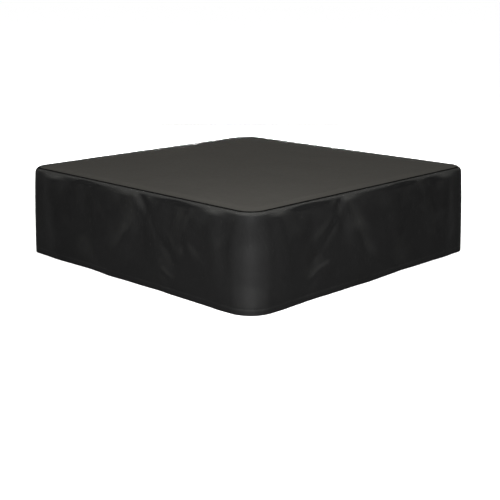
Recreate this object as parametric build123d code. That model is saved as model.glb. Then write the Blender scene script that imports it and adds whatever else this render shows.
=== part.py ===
"""Fitted cloth cap that covers the top of a square spa: a flat top panel, a deep skirt sewn from two
lengths of cloth, a piped top seam with bound edges, and a hem channel that holds a loop of flat elastic.

Units are millimetres. +Z is up, the front is towards -Y, and the origin is the centre of the hem's
footprint. A point of a cross-section is (offset, height), where offset is measured outwards from the
centre line of the nearest rounded corner, so that one section serves the straights and the corners.
"""

import os
from math import sqrt

from build123d import *

# Driving dimensions of the cover.
COVER_WIDTH = 1860.0  # across opposite walls, just below the rolled top edge
COVER_HEIGHT = 520.0  # from the hem to the top of the piping
CORNER_RADIUS = 110.0  # of the walls, seen from above
HEM_FLARE = 8.0  # how much further out the hem hangs than the wall's top
ROLL_RADIUS = 22.0  # the skirt's soft shoulder below the piping
CLOTH = 1.0  # coated cloth
ALLOWANCE = 14.0  # width of every seam allowance

# Piped top seam.
PIPING_RADIUS = 3.2
FILLER_RADIUS = 2.35
FILLER_GAP = 0.05
SLEEVE_CLOTH = 0.8

# Tape folded over the raw edges of the seams.
BINDING_TAPE = 0.6
BINDING_WIDTH = 10.0

# Hem channel and the elastic inside it.
HEM_DEPTH = 5.0  # inside to outside
HEM_UPRIGHT = 45.0  # height of the part that hangs upright
CHANNEL_HEIGHT = 24.0
HEM_STITCH_HEIGHT = 34.0
HEM_TOP = 40.0
HEM_CORNER = 1.0
LAYER_GAP = 0.1  # between two layers that lie on each other
ELASTIC_WIDTH = 20.0
ELASTIC_THICKNESS = 1.2
ELASTIC_LAP = 40.0  # where the two ends are laid together and sewn

# Upright seams, at the left and right corners.
SEAM_TURN = 45.0  # degrees round the right corner, from the right wall, and the same at the opposite corner
UPRIGHT_SEAM_LOW = 50.0
UPRIGHT_SEAM_TOP_GAP = 10.0  # below the shoulder
BINDING_END_GAP = 2.0  # the tape is this much shorter than the allowance at each end

# Values worked out from them.
TOP = COVER_HEIGHT - PIPING_RADIUS  # upper face of the top panel
CORNER = COVER_WIDTH / 2 - CORNER_RADIUS  # x and y of each corner's centre line
SEAM = CORNER_RADIUS - ROLL_RADIUS  # offset of the piping
HEM = CORNER_RADIUS + HEM_FLARE  # offset of the hem's outer face
SHOULDER = TOP - ROLL_RADIUS
ALLOWANCE_TOP = TOP - PIPING_RADIUS  # upper face of the skirt's allowance
LEFT_CORNER = (Vector(-CORNER, -CORNER, 0), 180 + SEAM_TURN)  # centre line, and direction of its seam
RIGHT_CORNER = (Vector(CORNER, CORNER, 0), SEAM_TURN)


def section_plane(corner, angle):
    """Plane of a cross-section: x runs outwards from the corner's centre line, y runs up."""
    outwards = Vector(1, 0, 0).rotate(Axis.Z, angle)
    return Plane(origin=corner, x_dir=outwards, z_dir=outwards.cross(Vector(0, 0, 1)))


def half_path(offset):
    """From the left corner's seam, along the front, to the right corner's seam."""
    return Wire(
        [
            CenterArc((-CORNER, -CORNER, 0), offset, 180 + SEAM_TURN, 90 - SEAM_TURN).edge(),
            Line((-CORNER, -CORNER - offset), (CORNER, -CORNER - offset)).edge(),
            CenterArc((CORNER, -CORNER, 0), offset, 270, 90).edge(),
            Line((CORNER + offset, -CORNER), (CORNER + offset, CORNER)).edge(),
            CenterArc((CORNER, CORNER, 0), offset, 0, SEAM_TURN).edge(),
        ]
    )


def half_band(face):
    """Sweeps a cross-section along half the cover, between its two upright seams."""
    return sweep(section_plane(*LEFT_CORNER) * face, path=half_path(SEAM))


def whole_band(face):
    """The same cross-section all the way round, as one solid."""
    half = half_band(face)
    return half.fuse(half.rotate(Axis.Z, 180)).clean()


def wall_offset(height):
    """Offset of the wall's outer face at a height above the hem's upright part."""
    share = (height - HEM_UPRIGHT) / (SHOULDER - HEM_UPRIGHT)
    return HEM - HEM_FLARE * share


def top_panel():
    """Flat sheet whose edge butts against the piping."""
    offset = SEAM - PIPING_RADIUS - LAYER_GAP
    side = 2 * (CORNER + offset)
    return Pos(0, 0, TOP - CLOTH) * extrude(RectangleRounded(side, side, offset), CLOTH)


def on_roll(offset, radius):
    """Point of the shoulder's arc of some radius, at an offset."""
    return (offset, SHOULDER + sqrt(radius**2 - (offset - SEAM) ** 2))


def roll_arc(start, end, radius):
    """Arc of the shoulder between two of its points."""
    middle = (SEAM + radius * sqrt(0.5), SHOULDER + radius * sqrt(0.5))
    return ThreePointArc(start, middle, end).edge()


def skirt_section():
    """Allowance under the top panel, shoulder, wall, and the hem folded up inside into a channel."""
    outer_start = on_roll(SEAM + PIPING_RADIUS, ROLL_RADIUS)
    inner_start = on_roll(SEAM + PIPING_RADIUS + CLOTH, ROLL_RADIUS - CLOTH)
    outer_shoulder = (CORNER_RADIUS, SHOULDER)
    inner_shoulder = (CORNER_RADIUS - CLOTH, SHOULDER)
    inside = HEM - HEM_DEPTH
    layer = HEM - CLOTH - LAYER_GAP  # the turned-up edge lies against the wall from here inwards
    allowance = Polyline(
        inner_start,
        (inner_start[0], ALLOWANCE_TOP - CLOTH),
        (SEAM - ALLOWANCE, ALLOWANCE_TOP - CLOTH),
        (SEAM - ALLOWANCE, ALLOWANCE_TOP),
        (outer_start[0], ALLOWANCE_TOP),
        outer_start,
    )
    wall_and_hem = Polyline(
        outer_shoulder,
        (HEM, HEM_UPRIGHT),
        (HEM, HEM_CORNER),
        (HEM - HEM_CORNER, 0),
        (inside + HEM_CORNER, 0),
        (inside, HEM_CORNER),
        (inside, CHANNEL_HEIGHT),
        (layer - CLOTH, HEM_STITCH_HEIGHT),
        (layer - CLOTH, HEM_TOP),
        (layer, HEM_TOP),
        (layer, HEM_STITCH_HEIGHT),
        (inside + CLOTH, CHANNEL_HEIGHT),
        (inside + CLOTH, CLOTH),
        (HEM - CLOTH, CLOTH),
        (HEM - CLOTH, HEM_UPRIGHT),
        inner_shoulder,
    )
    rolls = [
        roll_arc(outer_start, outer_shoulder, ROLL_RADIUS),
        roll_arc(inner_shoulder, inner_start, ROLL_RADIUS - CLOTH),
    ]
    return make_face(Curve() + [*allowance.edges(), *wall_and_hem.edges(), *rolls])


def upright_strip(seam, inner, outer, low, high):
    """Flat outline of a strip that follows the wall's inner face; inner and outer are depths from it."""
    outline = Polyline(
        (wall_offset(low) - CLOTH - inner, low),
        (wall_offset(low) - CLOTH - outer, low),
        (wall_offset(high) - CLOTH - outer, high),
        (wall_offset(high) - CLOTH - inner, high),
        close=True,
    )
    return section_plane(*seam) * make_face(outline)


def seam_allowance(seam, side):
    """Allowance of an upright seam, turned inwards, on one side of the seam."""
    high = SHOULDER - UPRIGHT_SEAM_TOP_GAP
    return extrude(upright_strip(seam, ALLOWANCE, -CLOTH / 2, UPRIGHT_SEAM_LOW, high), side * CLOTH)


def front_skirt():
    """The length of cloth round the front and right walls, with an allowance at each end."""
    skirt = half_band(skirt_section())
    return skirt.fuse(seam_allowance(LEFT_CORNER, -1)).fuse(seam_allowance(RIGHT_CORNER, 1))


def rear_skirt():
    """The length of cloth round the rear and left walls, cut to the same pattern."""
    return front_skirt().rotate(Axis.Z, 180)


def piping_bead(radius):
    """Circle at the seam line."""
    return Pos(SEAM, TOP) * Circle(radius)


def top_piping_sleeve():
    """Bias-cut strip folded round the filler, with both edges caught in the top seam."""
    width = ALLOWANCE - 1
    flange = Pos(SEAM - 1 - width / 2, ALLOWANCE_TOP + SLEEVE_CLOTH / 2) * Rectangle(width, SLEEVE_CLOTH)
    sleeve = whole_band((piping_bead(PIPING_RADIUS) + flange).face())
    return sleeve - whole_band(piping_bead(FILLER_RADIUS + FILLER_GAP).face())


def top_piping_filler():
    """Round cord inside the piping, which keeps the top edge crisp."""
    return whole_band(piping_bead(FILLER_RADIUS).face())


def top_seam_binding():
    """Tape folded over the raw edges of the top seam."""
    upper = TOP - CLOTH
    lower = ALLOWANCE_TOP - CLOTH
    inner = SEAM - ALLOWANCE
    outline = Polyline(
        (inner + BINDING_WIDTH, upper),
        (inner - BINDING_TAPE, upper),
        (inner - BINDING_TAPE, lower - BINDING_TAPE),
        (inner + BINDING_WIDTH, lower - BINDING_TAPE),
        (inner + BINDING_WIDTH, lower),
        (inner, lower),
        (inner, upper - BINDING_TAPE),
        (inner + BINDING_WIDTH, upper - BINDING_TAPE),
        close=True,
    )
    return whole_band(make_face(outline))


def corner_binding(seam):
    """Tape folded over the two upright allowances of a corner."""
    low = UPRIGHT_SEAM_LOW + BINDING_END_GAP
    high = SHOULDER - UPRIGHT_SEAM_TOP_GAP - BINDING_END_GAP
    tape = upright_strip(seam, ALLOWANCE + BINDING_TAPE, ALLOWANCE - BINDING_WIDTH, low, high)
    cloth = upright_strip(seam, ALLOWANCE, 0, low, high)
    return extrude(tape, CLOTH + BINDING_TAPE, both=True) - extrude(cloth, CLOTH, both=True)


def hem_elastic():
    """Loop of flat elastic in the hem channel, its ends lapped and sewn at the middle of the rear."""
    inner = HEM - HEM_DEPTH + CLOTH + LAYER_GAP
    height = CLOTH + LAYER_GAP + ELASTIC_WIDTH / 2
    section = Pos(inner + ELASTIC_THICKNESS / 2, height) * Rectangle(ELASTIC_THICKNESS, ELASTIC_WIDTH)
    lap_middle = CORNER + inner + 1.5 * ELASTIC_THICKNESS
    lap = Pos(0, lap_middle, height) * Box(ELASTIC_LAP, ELASTIC_THICKNESS, ELASTIC_WIDTH)
    return whole_band(section.face()).fuse(lap)


def all_nodes():
    """Every separate piece of the cover, by name."""
    return {
        "top_panel": top_panel(),
        "front_skirt": front_skirt(),
        "rear_skirt": rear_skirt(),
        "top_piping_sleeve": top_piping_sleeve(),
        "top_piping_filler": top_piping_filler(),
        "top_seam_binding": top_seam_binding(),
        "left_corner_binding": corner_binding(LEFT_CORNER),
        "right_corner_binding": corner_binding(RIGHT_CORNER),
        "hem_elastic": hem_elastic(),
    }


os.makedirs("parts", exist_ok=True)
for name, shape in all_nodes().items():
    export_step(shape, f"parts/{name}.step")
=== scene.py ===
"""Visual model of a fitted cloth cap for a square spa, standing on a pale floor.

Every piece but the top cloth is drawn in the cover's own pattern space and then bent round the cover. A
place in that space is (along, out, up): along runs round the cover from the middle of the front, towards
the right, out is the distance outwards from the piped seam, and up is the height. One bend serves all of
them, so they share the same folds. Lengths are in metres.
"""

import math

import bpy
import numpy as np
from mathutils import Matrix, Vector


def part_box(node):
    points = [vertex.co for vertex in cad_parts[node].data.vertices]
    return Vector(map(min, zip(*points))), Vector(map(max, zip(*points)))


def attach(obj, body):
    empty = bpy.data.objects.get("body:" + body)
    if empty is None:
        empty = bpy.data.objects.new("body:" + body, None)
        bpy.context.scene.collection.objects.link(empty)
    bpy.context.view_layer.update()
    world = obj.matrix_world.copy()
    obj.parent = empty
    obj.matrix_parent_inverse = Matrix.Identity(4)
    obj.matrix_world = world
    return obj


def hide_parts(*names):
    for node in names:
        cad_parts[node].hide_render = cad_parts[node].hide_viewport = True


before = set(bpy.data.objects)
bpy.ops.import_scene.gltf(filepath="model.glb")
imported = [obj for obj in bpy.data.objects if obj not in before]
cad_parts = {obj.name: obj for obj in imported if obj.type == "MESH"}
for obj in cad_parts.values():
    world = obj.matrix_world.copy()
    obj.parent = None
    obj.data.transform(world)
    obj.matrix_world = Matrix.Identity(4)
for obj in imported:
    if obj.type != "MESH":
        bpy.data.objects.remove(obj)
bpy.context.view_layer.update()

MM = 0.001

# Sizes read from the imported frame.
PIPING_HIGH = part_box("top_piping_sleeve")[1]
ELASTIC_LOW, ELASTIC_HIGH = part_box("hem_elastic")
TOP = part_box("top_panel")[1][2]  # upper face of the top cloth at its edge
PIPING_RADIUS = PIPING_HIGH[2] - TOP
FILLER_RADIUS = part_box("top_piping_filler")[1][2] - TOP
SEAM_HALF = PIPING_HIGH[0] - PIPING_RADIUS  # half the distance between opposite stretches of piping
HEM_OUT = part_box("front_skirt")[1][0] - SEAM_HALF  # how far the hem hangs outside the seam line

# Sizes of the pattern.
SEAM_CORNER = 88 * MM  # radius of the piping's corners
ROLL = 22 * MM  # radius of the skirt's shoulder
SHOULDER_EASE = 4 * MM  # how far the shoulder is drawn in where it meets the wall
CLOTH = 1.0 * MM
ALLOWANCE = 14 * MM
HEM_UPRIGHT = 45 * MM  # height of the part that hangs upright
HEM_STITCH = 34 * MM
HEM_DEPTH = 5 * MM
HEM_BULGE = 0.5 * MM  # how far the elastic pushes the hem out
TAPE_CLOTH = 0.6 * MM
TAPE_WIDTH = 10 * MM
ELASTIC_CLOTH = 1.2 * MM
ELASTIC_LAP = 40 * MM
LAYER_GAP = 0.1 * MM
SEAM_DIP = 1.6 * MM  # how far the cloth is pulled in at an upright seam
CROWN = 6 * MM  # how much higher the tub's lid holds the middle of the top
STITCH = 5 * MM  # from one stitch to the next
SHOULDER = TOP - ROLL
TAPE_LOW = 52 * MM  # lower end of the upright seams' tape
TAPE_HIGH = SHOULDER - 12 * MM
STRAIGHT = SEAM_HALF - SEAM_CORNER  # half the length of a straight side
# Pattern length from one side's middle to the next.
QUARTER = 2 * STRAIGHT + math.pi / 2 * (SEAM_CORNER + ROLL)
ROUND = 4 * QUARTER

NEAR_CORNER = QUARTER / 2  # along, at the near corner
LEFT_SEAM = -QUARTER / 2  # and at the upright seams
RIGHT_SEAM = QUARTER * 1.5

# Gentle noise: its height, the distance from one bump to the next, and its seed.
WALL_WAVES = (2.2 * MM, 0.24, 11)
WALL_CREASES = (0.55 * MM, 0.07, 12)
FOLD_SWAY = (14 * MM, 0.13, 13)  # moves the folds sideways
FOLD_DRIFT = (9 * MM, 0.11, 14)  # moves them up and down
TOP_WAVES = (2.2 * MM, 0.27, 21)
TOP_CREASES = (0.8 * MM, 0.11, 22)

# Folds, each a soft ridge, or a groove where its height is negative:
# (along, up) of its start and end, width at the start and end, and height. Lengths are in metres, and
# along is counted from the side's middle towards the near corner.
FRONT_FOLDS = [
    # broad waves that run from the seam to the hem
    ((-0.67, 0.620), (-0.60, -0.120), 0.085, 0.095, 0.0180),
    ((-0.37, 0.620), (-0.33, -0.120), 0.080, 0.090, -0.0150),
    ((0.02, 0.620), (-0.16, -0.120), 0.080, 0.090, 0.0080),
    ((0.43, 0.620), (0.22, -0.120), 0.070, 0.080, -0.0130),
    ((0.65, 0.620), (0.77, -0.120), 0.065, 0.075, 0.0130),
    # the pucker under the seam
    ((0.114, 0.512), (0.160, 0.434), 0.024, 0.028, -0.0046),
    ((0.062, 0.508), (0.117, 0.440), 0.027, 0.032, 0.0024),
    ((0.186, 0.508), (0.200, 0.440), 0.024, 0.032, 0.0022),
    # the tent that fans out below it
    ((0.095, 0.480), (0.045, 0.270), 0.050, 0.070, 0.0110),
    ((0.055, 0.340), (-0.170, -0.030), 0.055, 0.080, 0.0140),
    ((0.196, 0.410), (0.238, 0.310), 0.019, 0.024, -0.0021),
    ((0.238, 0.314), (0.327, 0.242), 0.027, 0.032, -0.0042),
    ((0.325, 0.244), (0.434, 0.160), 0.032, 0.046, -0.0036),
    ((0.262, 0.330), (0.354, 0.256), 0.030, 0.035, 0.0027),
    ((0.352, 0.258), (0.462, 0.172), 0.035, 0.049, 0.0024),
    ((0.262, 0.150), (0.236, 0.040), 0.032, 0.043, 0.0035),
    ((0.192, 0.155), (0.160, 0.040), 0.035, 0.049, -0.0027),
    ((0.285, 0.119), (0.392, 0.084), 0.015, 0.016, 0.0024),
    # between the tent and the near corner
    ((0.466, 0.462), (0.462, 0.255), 0.019, 0.022, -0.0027),
    ((0.502, 0.462), (0.498, 0.255), 0.024, 0.027, 0.0021),
    ((0.505, 0.310), (0.610, 0.268), 0.024, 0.030, -0.0022),
    ((0.850, 0.290), (0.930, 0.255), 0.030, 0.036, 0.0036),
    ((0.850, 0.180), (0.930, 0.150), 0.034, 0.040, -0.0036),
    # soft bumps on the shoulder
    ((-0.66, 0.498), (-0.60, 0.500), 0.019, 0.019, 0.0024),
    ((-0.50, 0.498), (-0.45, 0.500), 0.019, 0.019, 0.0024),
]
RIGHT_FOLDS = [
    # broad waves that run from the seam to the hem
    ((-0.69, 0.620), (-0.67, -0.120), 0.065, 0.070, 0.0140),
    ((-0.26, 0.620), (-0.29, -0.120), 0.080, 0.090, -0.0160),
    ((0.24, 0.620), (0.00, -0.120), 0.080, 0.090, 0.0080),
    ((0.52, 0.620), (0.50, -0.120), 0.080, 0.090, -0.0140),
    ((0.74, 0.620), (0.74, -0.120), 0.060, 0.065, 0.0110),
    # ripples between the far corner and the tent
    ((-0.555, 0.440), (-0.580, 0.290), 0.036, 0.044, -0.0054),
    ((-0.575, 0.310), (-0.650, 0.060), 0.040, 0.056, -0.0054),
    ((-0.425, 0.500), (-0.440, 0.290), 0.034, 0.040, 0.0050),
    ((-0.435, 0.310), (-0.520, 0.070), 0.042, 0.060, 0.0050),
    # the pucker under the seam
    ((0.262, 0.510), (0.292, 0.436), 0.023, 0.027, -0.0043),
    ((0.204, 0.506), (0.246, 0.440), 0.027, 0.032, 0.0027),
    ((0.316, 0.504), (0.332, 0.448), 0.022, 0.027, 0.0022),
    # the tent that fans out below it
    ((0.205, 0.460), (0.172, 0.255), 0.045, 0.060, 0.0095),
    ((0.180, 0.340), (-0.020, -0.020), 0.055, 0.080, 0.0140),
    ((0.318, 0.376), (0.408, 0.293), 0.024, 0.031, -0.0040),
    ((0.407, 0.295), (0.520, 0.195), 0.031, 0.043, -0.0035),
    ((0.348, 0.390), (0.438, 0.305), 0.028, 0.035, 0.0027),
    ((0.437, 0.307), (0.548, 0.208), 0.034, 0.046, 0.0024),
    ((0.378, 0.175), (0.450, 0.142), 0.015, 0.016, 0.0027),
    ((0.448, 0.143), (0.530, 0.112), 0.016, 0.019, 0.0024),
    ((0.300, 0.175), (0.345, 0.070), 0.035, 0.046, -0.0029),
    ((0.366, 0.150), (0.405, 0.060), 0.030, 0.041, 0.0029),
    # between the tent and the near corner
    ((0.640, 0.430), (0.650, 0.340), 0.030, 0.035, 0.0013),
    # soft bumps on the shoulder
    ((-0.49, 0.500), (-0.43, 0.502), 0.019, 0.019, 0.0024),
    ((-0.65, 0.499), (-0.59, 0.501), 0.019, 0.019, 0.0024),
]
# For each side, front first and then on towards the right: its folds, and whether its near corner is at
# its far end along the way round.
SIDE_FOLDS = [(FRONT_FOLDS, 1), (RIGHT_FOLDS, -1), (RIGHT_FOLDS, 1), (FRONT_FOLDS, -1)]


def soft_noise(kind, x, y, around=None):
    """Smooth noise of one kind. around is the length in x after which it repeats."""
    height, cell, seed = kind
    count = 256 if around is None else round(around / cell)
    table = np.random.default_rng(seed).uniform(0, 2 * math.pi, (count, 256))
    fx = np.asarray(x, float) / (cell if around is None else around / count)
    fy = np.asarray(y, float) / cell
    ix = np.floor(fx).astype(int)
    iy = np.floor(fy).astype(int)
    tx = fx - ix
    ty = fy - iy

    def corner(dx, dy):
        angle = table[(ix + dx) % count, (iy + dy) % 256]
        return np.cos(angle) * (tx - dx) + np.sin(angle) * (ty - dy)

    sx = tx * tx * tx * (tx * (tx * 6 - 15) + 10)
    sy = ty * ty * ty * (ty * (ty * 6 - 15) + 10)
    low = corner(0, 0) * (1 - sx) + corner(1, 0) * sx
    high = corner(0, 1) * (1 - sx) + corner(1, 1) * sx
    return height * (1.5 * (low * (1 - sy) + high * sy))


def smooth(edge0, edge1, value):
    """0 below edge0, 1 above edge1 and smooth between."""
    t = np.clip((value - edge0) / (edge1 - edge0), 0, 1)
    return t * t * (3 - 2 * t)


def fold(x, up, start, end, width_start, width_end, height):
    """Height of one fold at the places (x, up)."""
    dx, dy = end[0] - start[0], end[1] - start[1]
    length = math.hypot(dx, dy)
    share = ((x - start[0]) * dx + (up - start[1]) * dy) / length**2
    across = ((x - start[0]) * dy - (up - start[1]) * dx) / length
    width = width_start + (width_end - width_start) * np.clip(share, 0, 1)
    fade = 1.6 * width / length  # each end fades out over a length that suits the fold's width
    ends = smooth(-fade, fade, share) * (1 - smooth(1 - fade, 1 + fade, share))
    return height * ends * np.exp(-((across / width) ** 2))


def side_folds(along, up):
    """The folds of all four sides, a little bent so that none runs dead straight."""
    total = np.zeros(along.shape)
    sway = soft_noise(FOLD_SWAY, along, up, ROUND)
    drift = soft_noise(FOLD_DRIFT, along, up, ROUND)
    for side, (folds, direction) in enumerate(SIDE_FOLDS):
        x = (along - side * QUARTER + ROUND / 2) % ROUND - ROUND / 2
        for one in folds:
            total += fold(direction * x + sway, up + drift, *one)
    return total


def ripple(along, up):
    """How far the skirt stands out from its plain shape.

    The piped seam, the elastic in the hem and the pull across the near corner hold it closer.
    """
    waves = soft_noise(WALL_WAVES, along, up * 0.6, ROUND)
    creases = soft_noise(WALL_CREASES, along, up * 0.8, ROUND)
    below_seam = 1 - smooth(SHOULDER - 12 * MM, TOP - 3 * MM, up)
    above_hem = 0.35 + 0.65 * smooth(0, 0.24, up)
    beside_corner = 1 - 0.8 * np.exp(-(((along - NEAR_CORNER) / 0.14) ** 2))
    return (side_folds(along, up) + waves + creases) * below_seam * above_hem * beside_corner


def sides(along):
    """The side that each place belongs to, and its distance from that side's middle."""
    side = np.floor(along / QUARTER + 0.5).astype(int)
    return side % 4, along - side * QUARTER


def corner_ease(corner, up):
    """How much more the walls' corners are rounded than the piping's, at a height.

    Corner 0 is the near one, and they count on towards the right. The cloth is drawn across the near and
    far corners, less so in its upper part and at the hem. It stands out full at the two with an upright
    seam, less so towards the shoulder.
    """
    drawn = 40 * MM * (1 - smooth(0.34, TOP, up)) - 14 * MM * (1 - smooth(0, 0.16, up))
    sharper = 34 * MM - 20 * MM * smooth(0.05, SHOULDER, up)
    full = -sharper * (1 - smooth(SHOULDER - 6 * MM, TOP, up))
    return np.where(corner % 2 == 0, drawn, full)


def bend(along, out, up, lift=0.0):
    """Points of the cover at these places. lift moves them outwards."""
    along, out, up = np.broadcast_arrays(along, out, up)
    side, x = sides(along)
    ease = corner_ease(side - (x < 0), up)
    radius = SEAM_CORNER + out + ease
    straight = STRAIGHT - ease
    past = np.clip((np.abs(x) - STRAIGHT) / (QUARTER / 2 - STRAIGHT), 0, 1)
    angle = past * math.pi / 4 * np.sign(x)
    position = np.clip(x / STRAIGHT, -1, 1) * straight
    local_t = position + radius * np.sin(angle)
    local_n = straight + radius * np.cos(angle)
    turn = side * math.pi / 2
    normal_angle = turn + angle - math.pi / 2
    stand = ripple(along, up) + lift
    px = local_t * np.cos(turn) + local_n * np.sin(turn)
    py = local_t * np.sin(turn) - local_n * np.cos(turn)
    nx, ny = np.cos(normal_angle), np.sin(normal_angle)
    return np.stack([px + nx * stand, py + ny * stand, up], -1)


def mesh_object(name, points, faces, uvs=None, caps=()):
    """A mesh object from arrays of points, of faces and, for each point, its place on the cloth.

    caps are single faces with more corners. A mesh with no places on the cloth is shaded flat.
    """
    mesh = bpy.data.meshes.new(name)
    mesh.from_pydata(points.reshape(-1, 3).tolist(), [], faces.tolist() + [cap.tolist() for cap in caps])
    if uvs is None:
        mesh.shade_flat()
    else:
        layer = mesh.uv_layers.new(name="cloth")
        corners = np.zeros(len(mesh.loops), np.int32)
        mesh.loops.foreach_get("vertex_index", corners)
        places = np.stack(uvs, -1).reshape(-1, 2)
        layer.data.foreach_set("uv", np.asarray(places, np.float32)[corners].ravel())
        mesh.shade_smooth()
    mesh.validate()
    piece = bpy.data.objects.new(name, mesh)
    bpy.context.scene.collection.objects.link(piece)
    return piece


def grid_faces(rows, columns, wrap_rows=False, wrap_columns=False):
    """Faces of a grid of points that are numbered row by row."""
    row = np.arange(rows if wrap_rows else rows - 1)
    column = np.arange(columns if wrap_columns else columns - 1)
    r, c = np.meshgrid(row, column, indexing="ij")
    r2, c2 = (r + 1) % rows, (c + 1) % columns
    corners = [r * columns + c, r2 * columns + c, r2 * columns + c2, r * columns + c2]
    return np.stack(corners, -1).reshape(-1, 4)


def dress(piece, slot, material, *nodes):
    """Gives a piece its body and material, and the CAD nodes that it stands for. slot is not used."""
    piece.data.materials.append(material)
    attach(piece, "root")
    if nodes:
        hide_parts(*nodes)


def thicken(piece):
    """Gives a sheet of cloth its thickness, inwards from its outer face."""
    solidify = piece.modifiers.new("cloth", "SOLIDIFY")
    solidify.thickness = CLOTH
    solidify.offset = -1


# Materials


class Nodes:
    """A material, with a short way to write its nodes."""

    def __init__(self, name):
        self.material = bpy.data.materials.new(name)
        self.material.use_nodes = True
        self.tree = self.material.node_tree
        self.tree.nodes.clear()

    def feed(self, socket, value):
        """Links an input socket to another node's output, or sets its value."""
        if isinstance(value, bpy.types.NodeSocket):
            self.tree.links.new(value, socket)
        else:
            socket.default_value = value

    def add(self, kind, settings=None, **inputs):
        """A node with its settings and its inputs, an underscore standing for a space in their names."""
        node = self.tree.nodes.new(kind)
        for key, value in (settings or {}).items():
            setattr(node, key, value)
        for key, value in inputs.items():
            self.feed(node.inputs[key.replace("_", " ")], value)
        return node

    def maths(self, operation, a, b):
        node = self.add("ShaderNodeMath", {"operation": operation})
        self.feed(node.inputs[0], a)
        self.feed(node.inputs[1], b)
        return node.outputs[0]

    def mix(self, share, first, second):
        """A mix of two colours. Sockets 0, 6 and 7 are the share and the two colours."""
        node = self.add("ShaderNodeMix", {"data_type": "RGBA"})
        self.feed(node.inputs[0], share)
        self.feed(node.inputs[6], first)
        self.feed(node.inputs[7], second)
        return node.outputs[2]

    def noise(self, place, scale, detail, roughness):
        node = self.add("ShaderNodeTexNoise", Vector=place, Scale=scale, Detail=detail, Roughness=roughness)
        return node.outputs["Fac"]

    def bands(self, direction, place, pitch):
        """Soft bands across one direction. At scale 1 a wave texture has 20 radians to one unit."""
        scale = 2 * math.pi / 20 / pitch
        node = self.add("ShaderNodeTexWave", {"bands_direction": direction}, Vector=place, Scale=scale)
        return node.outputs["Fac"]

    def shade(self, specular, **inputs):
        """The material's surface."""
        shader = self.add("ShaderNodeBsdfPrincipled", Specular_IOR_Level=specular, **inputs)
        self.add("ShaderNodeOutputMaterial", Surface=shader.outputs[0])

    def ramp(self, value, low, high, start=0.0, end=1.0):
        """start where the value is low, end where it is high, and in proportion between."""
        node = self.add(
            "ShaderNodeMapRange",
            {"clamp": True},
            Value=value,
            From_Min=low,
            From_Max=high,
            To_Min=start,
            To_Max=end,
        )
        return node.outputs[0]


WEAVE_PITCH = 1.1 * MM
WEAVE_DEPTH = 0.12 * MM


def grey(value):
    return (value, value, value, 1)


def cloth_material(name, dark, light, roughness, specular, painted_light=None):
    """Coated woven cloth: plain weave under a thin coat, cloudy and lightly scuffed.

    Its colour runs from dark to light with the wear. The last argument is a lighter colour mixed in where
    the cloth faces up: painted light from above.
    """
    n = Nodes(name)
    in_space = n.add("ShaderNodeTexCoord").outputs["Object"]
    on_cloth = n.add("ShaderNodeUVMap", {"uv_map": "cloth"}).outputs["UV"]
    clouds = n.noise(in_space, 5.0, 5.0, 0.6)
    scuffs = n.noise(in_space, 38.0, 6.0, 0.7)
    weft = n.bands("X", on_cloth, WEAVE_PITCH)
    warp = n.bands("Y", on_cloth, WEAVE_PITCH)
    weave = n.maths("MAXIMUM", weft, warp)
    wear = n.maths("ADD", n.ramp(clouds, 0.3, 0.7, 0.0, 0.65), n.ramp(scuffs, 0.35, 0.75, 0.0, 0.35))
    colour = n.mix(wear, dark, light)
    # Painted light from above: a lighter colour mixed in where the normal faces up.
    if painted_light:
        facing = n.add("ShaderNodeSeparateXYZ", Vector=n.add("ShaderNodeNewGeometry").outputs["Normal"])
        upward = n.ramp(facing.outputs["Z"], 0.03, 0.95)
        patchy = n.ramp(wear, 0.0, 1.0, 0.92, 1.0)
        colour = n.mix(n.maths("MULTIPLY", upward, patchy), colour, painted_light)
    relief = n.maths("ADD", n.maths("MULTIPLY", weave, 0.6), n.maths("MULTIPLY", scuffs, 0.8))
    bump = n.add("ShaderNodeBump", Strength=0.35, Distance=WEAVE_DEPTH, Height=relief).outputs["Normal"]
    rough = n.ramp(scuffs, 0.3, 0.75, roughness - 0.04, roughness + 0.06)
    n.shade(specular, Base_Color=colour, Roughness=rough, Normal=bump)
    return n.material


# Painted light: lighter colours mixed in where the cloth faces up, as if lit from above.
TOP_PAINTED_LIGHT = (0.0365, 0.0350, 0.0315, 1)
SKIRT_PAINTED_LIGHT = (0.0080, 0.0080, 0.0076, 1)
# The top cloth and the skirt are the same cloth; the top's lighter base colours are painted light from
# above.
SKIRT_CLOTH = cloth_material("skirt_cloth", grey(0.00062), grey(0.00094), 0.52, 0.0085, SKIRT_PAINTED_LIGHT)
TOP_CLOTH = cloth_material("top_cloth", grey(0.0016), grey(0.0026), 0.6, 0.01, TOP_PAINTED_LIGHT)
# The piping is black cloth made darker than the skirt: painted shade for the dark line along the seam.
PIPING_CLOTH = cloth_material("piping_cloth", grey(0.0004), grey(0.0008), 0.9, 0.003)
TAPE = cloth_material("binding_tape", (0.010, 0.010, 0.011, 1), (0.014, 0.014, 0.015, 1), 0.7, 0.2)
ELASTIC = cloth_material("woven_elastic", grey(0.012), grey(0.02), 0.75, 0.2)
FILLER = cloth_material("piping_filler", (0.5, 0.48, 0.44, 1), (0.62, 0.6, 0.56, 1), 0.85, 0.2)
THREAD = cloth_material("thread", grey(0.0025), grey(0.004), 0.6, 0.05)


# Skirts


def shoulder_out(angle):
    """How far out the shoulder stands, drawn in towards its foot so that it runs softly into the wall."""
    out = ROLL * math.cos(angle)
    return out - SHOULDER_EASE * (out / ROLL) ** 2


def wall_out(up):
    """How far out the wall's outer face stands at a height."""
    share = (SHOULDER - up) / (SHOULDER - HEM_UPRIGHT)
    return ROLL + (HEM_OUT - ROLL) * share - SHOULDER_EASE * np.exp(-share / 0.13)


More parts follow.
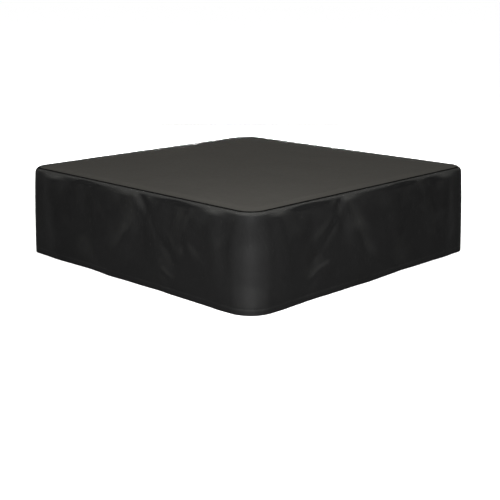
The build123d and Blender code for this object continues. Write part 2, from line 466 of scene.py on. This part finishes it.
def skirt_profile():
    """(out, up) down the skirt's outer face: allowance, shoulder, wall, and the hem folded up inside."""
    under = TOP - PIPING_RADIUS
    points = [(-ALLOWANCE, under), (-8 * MM, under), (-2 * MM, under), (1.5 * MM, under + 0.6 * MM)]
    for angle in np.radians(np.linspace(73, 12, 9)):
        points.append((shoulder_out(angle), SHOULDER + ROLL * math.sin(angle)))
    for up in np.concatenate([[SHOULDER], np.linspace(SHOULDER - 5 * MM, HEM_UPRIGHT, 56)]):
        points.append((wall_out(up), up))
    # Heights in mm and shares of the bulge: drawn in at the stitching, and round the elastic.
    hem = ((40, 0.2), (36.5, -0.1), (34, -0.6), (31.5, -0.1), (27, 0.6), (20, 1.0), (12, 1.0), (5, 0.7))
    for up, share in hem:
        points.append((HEM_OUT + HEM_BULGE * share, up * MM))
    fold_radius = HEM_DEPTH / 2
    middle = HEM_OUT - fold_radius + 0.4 * MM
    for angle in np.radians((-15, -50, -90, -130, -165)):
        low = 0.2 * MM + fold_radius * (1 + math.sin(angle))
        points.append((middle + fold_radius * math.cos(angle), low))
    # Heights in mm and shares of the way from the channel's inner face to the wall.
    inside = HEM_OUT - HEM_DEPTH
    against = HEM_OUT - 2 * CLOTH
    turned_up = ((8, 0), (16, 0), (23, 0.1), (28, 0.5), (32, 0.9), (34, 1.0), (37, 0.96), (40, 0.9))
    for up, share in turned_up:
        points.append((inside + (against - inside) * share, up * MM))
    return np.array(points)


def finer_at_ends(start, end, step, first):
    """Places from start to end about a step apart, the first ones about a shorter distance apart."""
    places = np.linspace(start, end, round((end - start) / step) + 1)
    near = np.array([0.3, 0.7, 1.3, 2.2, 3.4]) * first
    inner = places[(places > start + 5 * first) & (places < end - 5 * first)]
    return np.concatenate([[start], start + near, inner, end - near[::-1], [end]])


def lengths_along(profile):
    """The length along a cross-section from its start to each of its points."""
    steps = np.hypot(*np.diff(profile, axis=0).T)
    return np.concatenate([[0], np.cumsum(steps)])


def laid_out(along, profile):
    """Grids of along, out, up and the length along the cross-section, with a row for each of its points."""
    a, out = np.meshgrid(along, profile[:, 0])
    up = np.meshgrid(along, profile[:, 1])[1]
    length = np.meshgrid(along, lengths_along(profile))[1]
    return a, out, up, length


def skirt(name, start, end, node):
    """One length of skirt cloth between the two upright seams."""
    profile = skirt_profile()
    along = finer_at_ends(start, end, 8 * MM, 2.5 * MM)
    from_end = np.minimum(along - start, end - along)
    dip = -SEAM_DIP * np.exp(-((from_end / (3 * MM)) ** 2))
    a, out, up, length = laid_out(along, profile)
    piece = mesh_object(name, bend(a, out, up, dip), grid_faces(*a.shape), (a, length))
    thicken(piece)
    dress(piece, "skirt_cloth", SKIRT_CLOTH, node)


# Top


def top_cloth():
    """Top cloth: a square grid whose rings are rounded squares, from its middle to its edge."""
    half = SEAM_HALF - PIPING_RADIUS * 0.6
    corner = SEAM_CORNER - PIPING_RADIUS * 0.6
    straight = half - corner
    reach = straight + corner * math.pi / 4

    def rounded(first, other):
        """Coordinates on the edge, for the one that is at the edge and the one that runs along it."""
        run = np.abs(other) * reach
        angle = np.clip((run - straight) / corner, 0, math.pi / 4)
        along_edge = np.sign(other) * (np.minimum(run, straight) + corner * np.sin(angle))
        at_edge = np.sign(first) * (straight + corner * np.cos(angle))
        return at_edge, along_edge

    cells = 170
    ticks = np.linspace(-1, 1, cells + 1)
    a, b = np.meshgrid(ticks, ticks, indexing="ij")
    ring = np.maximum(np.abs(a), np.abs(b))
    on_x = np.abs(a) >= np.abs(b)
    side_x = np.where(on_x, np.sign(a), a / np.maximum(ring, 1e-9))
    side_y = np.where(on_x, b / np.maximum(ring, 1e-9), np.sign(b))
    at_x, along_y = rounded(side_x, side_y)
    at_y, along_x = rounded(side_y, side_x)
    x = ring * np.where(on_x, at_x, along_x)
    y = ring * np.where(on_x, along_y, at_y)

    from_edge = (1 - ring) * half
    crown = CROWN * (smooth(-0.02, 0.075, from_edge) - smooth(-0.02, 0.075, 0))
    waves = soft_noise(TOP_WAVES, x, y) + soft_noise(TOP_CREASES, x, y)
    z = TOP + crown + waves * smooth(0, 0.15, from_edge)
    faces = grid_faces(*a.shape)[:, ::-1]
    piece = mesh_object("top_cloth", np.stack([x, y, z], -1), faces, (x, y))
    thicken(piece)
    dress(piece, "top_cloth", TOP_CLOTH, "top_panel")


# Trim


def band(name, profile, slot, material, nodes, start=0.0, end=ROUND, step=8 * MM):
    """A closed cross-section of (out, up) carried round the cover, or along part of it."""
    whole = end - start == ROUND
    along = np.linspace(start, end, round((end - start) / step) + 1)
    if whole:
        along = along[:-1]
    a, out, up, length = laid_out(along, np.array(profile))
    faces = grid_faces(*a.shape, wrap_rows=True, wrap_columns=whole)
    piece = mesh_object(name, bend(a, out, up), faces, (a, length))
    dress(piece, slot, material, *nodes)


def bead(radius, count):
    """Cross-section of the piping, or of its cord."""
    angles = np.linspace(0, -2 * math.pi, count, endpoint=False)
    return [(radius * math.cos(t), TOP + radius * math.sin(t)) for t in angles]


def piping():
    """The piping round its cord, with its two edges caught flat between top cloth and skirt."""
    low = TOP - PIPING_RADIUS
    sleeve, cord = bead(PIPING_RADIUS, 14), bead(FILLER_RADIUS, 8)
    edges = [(-1 * MM, low + 0.8 * MM), (-1 * MM, low), (-13 * MM, low), (-13 * MM, low + 0.8 * MM)]
    band("piping", sleeve, "piping_cloth", PIPING_CLOTH, ["top_piping_sleeve"], step=6 * MM)
    band("piping_edges", edges, "piping_cloth", PIPING_CLOTH, [], step=12 * MM)
    band("piping_cord", cord, "piping_filler", FILLER, ["top_piping_filler"], step=12 * MM)


def top_binding():
    """Tape folded round the raw edges of the top seam, a little uneven as sewn tape is."""
    low = TOP - PIPING_RADIUS - CLOTH
    high = TOP - CLOTH
    edge = -ALLOWANCE
    inner = -ALLOWANCE + TAPE_WIDTH
    outline = [
        (inner, high + 0.1 * MM),
        (edge + 1 * MM, high),
        (edge - 0.6 * MM, high - 0.5 * MM),
        (edge - TAPE_CLOTH, (high + low) / 2),
        (edge - 0.6 * MM, low - 0.3 * MM),
        (edge + 1 * MM, low - TAPE_CLOTH),
        (inner, low - TAPE_CLOTH),
        (inner, low),
        (edge + 0.6 * MM, low),
        (edge, (high + low) / 2),
        (edge + 0.6 * MM, high - TAPE_CLOTH),
        (inner, high - TAPE_CLOTH),
    ]
    band("top_seam_tape", outline, "binding_tape", TAPE, ["top_seam_binding"], step=9 * MM)


def corner_binding(name, seam, node):
    """Tape folded round the two allowances of an upright seam."""
    half = CLOTH
    deep = CLOTH + ALLOWANCE
    start = deep - TAPE_WIDTH
    t = TAPE_CLOTH
    # (along, depth inside the wall's outer face), from the seam.
    outline = np.array(
        [
            (half, start),
            (half + t, start),
            (half + t, deep - 0.5 * MM),
            (half * 0.6, deep + t),
            (-half * 0.6, deep + t),
            (-half - t, deep - 0.5 * MM),
            (-half - t, start),
            (-half, start),
            (-half, deep),
            (half, deep),
        ]
    )
    heights = np.linspace(TAPE_LOW, TAPE_HIGH, 60)
    across, up = np.meshgrid(outline[:, 0], heights, indexing="ij")
    depth = np.meshgrid(outline[:, 1], heights, indexing="ij")[0]
    points = bend(seam + across, wall_out(up) - depth, up)
    low_end = np.arange(len(outline)) * len(heights)
    caps = [low_end, low_end[::-1] + len(heights) - 1]
    piece = mesh_object(name, points, grid_faces(*up.shape, wrap_rows=True), (depth + across, up), caps)
    dress(piece, "binding_tape", TAPE, node)


def elastic():
    """Flat elastic in the hem channel, lapped and sewn at the middle of the rear."""
    low, high = ELASTIC_LOW[2], ELASTIC_HIGH[2]
    inner = HEM_OUT - HEM_DEPTH + CLOTH + LAYER_GAP
    outer = inner + ELASTIC_CLOTH
    lapped = outer + ELASTIC_CLOTH
    loop = [(inner, low), (inner - LAYER_GAP, (low + high) / 2), (inner, high), (outer, high), (outer, low)]
    lap = [(outer, low), (outer, high), (lapped, high), (lapped, low)]
    band("elastic_loop", loop, "woven_elastic", ELASTIC, ["hem_elastic"], step=14 * MM)
    start = 2 * QUARTER - ELASTIC_LAP / 2
    band("elastic_lap", lap, "woven_elastic", ELASTIC, [], start, start + ELASTIC_LAP, 10 * MM)


# One stitch, in rings along it: the place along it, how high it arches, and its thickness, each a share.
STITCH_RINGS = np.array(
    [
        (-0.5, -0.9, 0.35),
        (-0.3, 0.4, 1.0),
        (0.0, 1.0, 1.1),
        (0.3, 0.4, 1.0),
        (0.5, -0.9, 0.35),
    ]
)
STITCH_LENGTH = STITCH * 0.74
STITCH_RISE = 0.30 * MM
THREAD_RADIUS = 0.28 * MM


def stitches(name, out, up, proud):
    """A row of sewn stitches round the cover, each a small arched bead of thread.

    out and up are where the row lies, and proud is the (out, up) direction that it stands out in.
    """
    count = round(ROUND / STITCH)
    starts = np.arange(count) * (ROUND / count)
    around = np.radians((0, 72, 144, 216, 288))
    swell = STITCH_RINGS[:, None, 2] * THREAD_RADIUS
    lift = STITCH_RINGS[:, None, 1] * STITCH_RISE + swell * np.cos(around)
    across = swell * np.sin(around)
    a, o, u = np.broadcast_arrays(
        starts[:, None, None] + STITCH_RINGS[:, None, 0] * STITCH_LENGTH,
        out + lift * proud[0] + across * proud[1],
        up + lift * proud[1] - across * proud[0],
    )
    one = grid_faces(len(STITCH_RINGS), len(around), wrap_columns=True)
    first_points = np.arange(count) * lift.size
    faces = (one + first_points[:, None, None]).reshape(-1, 4)
    piece = mesh_object(name, bend(a, o, u), faces, (a, o))
    dress(piece, "binding_tape", THREAD)


def seams():
    """The rows of stitching: round the hem, and through the tape inside the top seam."""
    stitches("hem_stitching", HEM_OUT - 0.35 * MM, HEM_STITCH, (1, 0))
    under_tape = TOP - PIPING_RADIUS - CLOTH - TAPE_CLOTH
    stitches("tape_stitching", -ALLOWANCE + 6 * MM, under_tape, (0, -1))


skirt("front_skirt_cloth", LEFT_SEAM, RIGHT_SEAM, "front_skirt")
skirt("rear_skirt_cloth", RIGHT_SEAM, RIGHT_SEAM + 2 * QUARTER, "rear_skirt")
top_cloth()
piping()
top_binding()
corner_binding("left_corner_tape", LEFT_SEAM, "left_corner_binding")
corner_binding("right_corner_tape", RIGHT_SEAM, "right_corner_binding")
elastic()
seams()


# Stage, light and camera


# The view, fitted to the top's corners, the near corner's upright and the tub's base. The fit gives lengths
# as shares of the cover's width.
VIEW_AZIMUTH = math.radians(44.43)
VIEW_ELEVATION = math.radians(14.78)
LENS = 71.8
COVER_WIDTH = 1.86
COVER_HEIGHT = 0.52
CAMERA_DISTANCE = 3.271 * COVER_WIDTH
AIM_ASIDE = 0.0043 * COVER_WIDTH  # to the right of the cover's middle, as the camera sees it
AIM_HEIGHT = COVER_HEIGHT - 0.2791 * COVER_WIDTH

CORNER_SIDE = 44  # azimuth of the near corner, which the lights are set by
WALL_MIDDLE = 0.27  # height of the walls' middle
ROOM_LIGHT = 0.06
FLOOR_HALF = 1500.0


def floor():
    """A plain pale floor, wide enough to reach the horizon."""
    n = Nodes("floor")
    n.shade(0.1, Base_Color=grey(0.86), Roughness=0.9)
    corners = np.array([(-1, -1, 0), (1, -1, 0), (1, 1, 0), (-1, 1, 0)]) * FLOOR_HALF
    plane = mesh_object("floor", corners, np.array([(0, 1, 2, 3)]))
    plane.data.materials.append(n.material)


def towards(azimuth, elevation):
    """Unit vector towards an azimuth, counted from the front towards the right, and an elevation."""
    return Vector(
        (
            math.sin(azimuth) * math.cos(elevation),
            -math.cos(azimuth) * math.cos(elevation),
            math.sin(elevation),
        )
    )


def place(name, data, location, back):
    """Puts a light or camera at a location. back is the direction opposite to the one it faces."""
    placed = bpy.data.objects.new(name, data)
    placed.location = location
    placed.rotation_euler = back.to_track_quat("Z", "Y").to_euler()
    bpy.context.scene.collection.objects.link(placed)
    return placed


def sun(name, azimuth, elevation, strength, width):
    """A distant light of an angular width. All angles are in degrees."""
    light = bpy.data.lights.new(name, "SUN")
    light.energy = strength
    light.angle = math.radians(width)
    place(name, light, Vector(), towards(math.radians(azimuth), math.radians(elevation)))


def softbox(name, azimuth, stands, aims, power, size):
    """A softbox at an azimuth in degrees, of some width and height.

    stands and aims are where it stands and what it faces, each as the distance from the cover's middle
    towards that azimuth and the height.
    """
    light = bpy.data.lights.new(name, "AREA")
    light.shape = "RECTANGLE"
    light.size, light.size_y = size
    light.energy = power
    outwards = towards(math.radians(azimuth), 0)
    location = outwards * stands[0] + Vector((0, 0, stands[1]))
    aim = outwards * aims[0] + Vector((0, 0, aims[1]))
    place(name, light, location, location - aim)


def lights():
    """Soft light from above, low softboxes that the walls mirror, and one for the shoulder."""
    sun("overhead", CORNER_SIDE, 78, 3.68, 60)
    far_off, at_corner = (5.6, WALL_MIDDLE), (1.2, WALL_MIDDLE)
    softbox("near_corner", CORNER_SIDE, far_off, at_corner, 2750, (3.5, 0.45))
    for name, azimuth in (("left_side", CORNER_SIDE - 42), ("right_side", CORNER_SIDE + 42)):
        softbox(name, azimuth, (5.0, WALL_MIDDLE), (1.0, WALL_MIDDLE), 540, (1.4, 0.45))
    softbox("near_edge", CORNER_SIDE, (1.75, 1.9), (1.1, 0.5), 28, (1.4, 0.7))
    softbox("far_corner", CORNER_SIDE + 180, far_off, at_corner, 1900, (2.4, 0.45))


def room():
    """The camera sees a white backdrop beyond the floor, and the cover only a dim room."""
    world = bpy.data.worlds.new("studio")
    world.use_nodes = True
    background = world.node_tree.nodes["Background"]
    background.inputs["Color"].default_value = grey(1)
    seen = world.node_tree.nodes.new("ShaderNodeLightPath").outputs["Is Camera Ray"]
    strength = world.node_tree.nodes.new("ShaderNodeMapRange")
    strength.inputs["To Min"].default_value = ROOM_LIGHT
    strength.inputs["To Max"].default_value = 1.0
    world.node_tree.links.new(seen, strength.inputs["Value"])
    world.node_tree.links.new(strength.outputs[0], background.inputs["Strength"])
    bpy.context.scene.world = world


def camera():
    """The camera, where the photo was taken from."""
    data = bpy.data.cameras.new("camera")
    data.sensor_width = 36
    data.lens = LENS
    aim = Vector((AIM_ASIDE * math.cos(VIEW_AZIMUTH), AIM_ASIDE * math.sin(VIEW_AZIMUTH), AIM_HEIGHT))
    back = towards(VIEW_AZIMUTH, VIEW_ELEVATION)
    bpy.context.scene.camera = place("camera", data, aim + back * CAMERA_DISTANCE, back)


floor()
lights()
room()
camera()
bpy.context.scene.view_settings.view_transform = "Standard"
